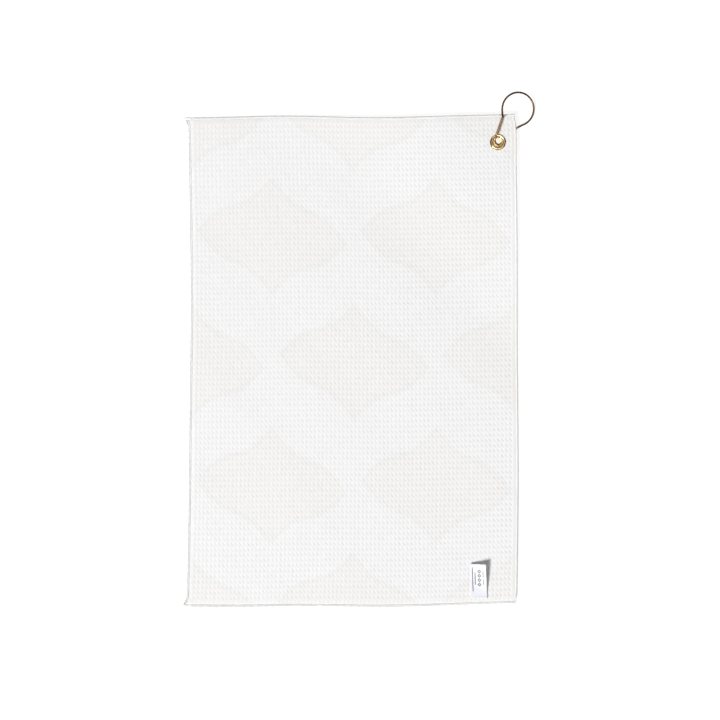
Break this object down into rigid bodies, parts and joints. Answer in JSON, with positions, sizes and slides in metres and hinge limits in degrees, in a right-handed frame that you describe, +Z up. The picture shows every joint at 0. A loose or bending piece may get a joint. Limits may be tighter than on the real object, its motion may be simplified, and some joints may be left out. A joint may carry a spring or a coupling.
{
  "type": "golf towel",
  "caption": "Rectangular waffle towel with an overlocked edge, a corner eyelet, a pear-shaped spring-wire hook and a sewn-on label.",
  "frame": {"origin": "middle of the cloth's underside, on the surface that the towel lies on", "axes": "+Y along the towel towards the eyelet's end, +X across it towards the eyelet's side, +Z up"},
  "size_m": [0.4325, 0.6366, 0.0145],
  "materials": {
    "waffle_cloth": "matte",
    "edge_thread": "matte",
    "label_satin": "satin",
    "eyelet_brass": "polished",
    "hook_wire": "polished"
  },
  "bodies": {
    "towel": {"towel_panel": "waffle_cloth", "edge_stitch_top": "edge_thread", "edge_stitch_bottom": "edge_thread", "edge_stitch_left": "edge_thread", "edge_stitch_right": "edge_thread", "corner_thread_tails": "edge_thread", "eyelet": "eyelet_brass", "eyelet_washer": "eyelet_brass", "label_tab": "label_satin", "label_stitches": "edge_thread"},
    "hook": {"hook_wire": "hook_wire"},
    "gate": {"hook_gate": "hook_wire"},
    "label": {"label_flap": "label_satin"}
  },
  "joints": [
    {"name": "hook_swivel", "type": "hinge", "parent": "towel", "child": "hook", "pos_m": [0.1789, 0.2694, 0.0069], "axis": [0, 0, 1], "range_deg": [-30, 30]},
    {"name": "gate_flex", "type": "hinge", "parent": "hook", "child": "gate", "pos_m": [0.17745, 0.28008, 0.0115], "axis": [0, 0, -1], "range_deg": [0, 15], "stiffness_Nm_per_rad": 0.05},
    {"name": "label_fold", "type": "hinge", "parent": "towel", "child": "label", "pos_m": [0.1555, -0.291, 0.003], "axis": [1, 0, 0], "range_deg": [-1.5, 150]}
  ]
}
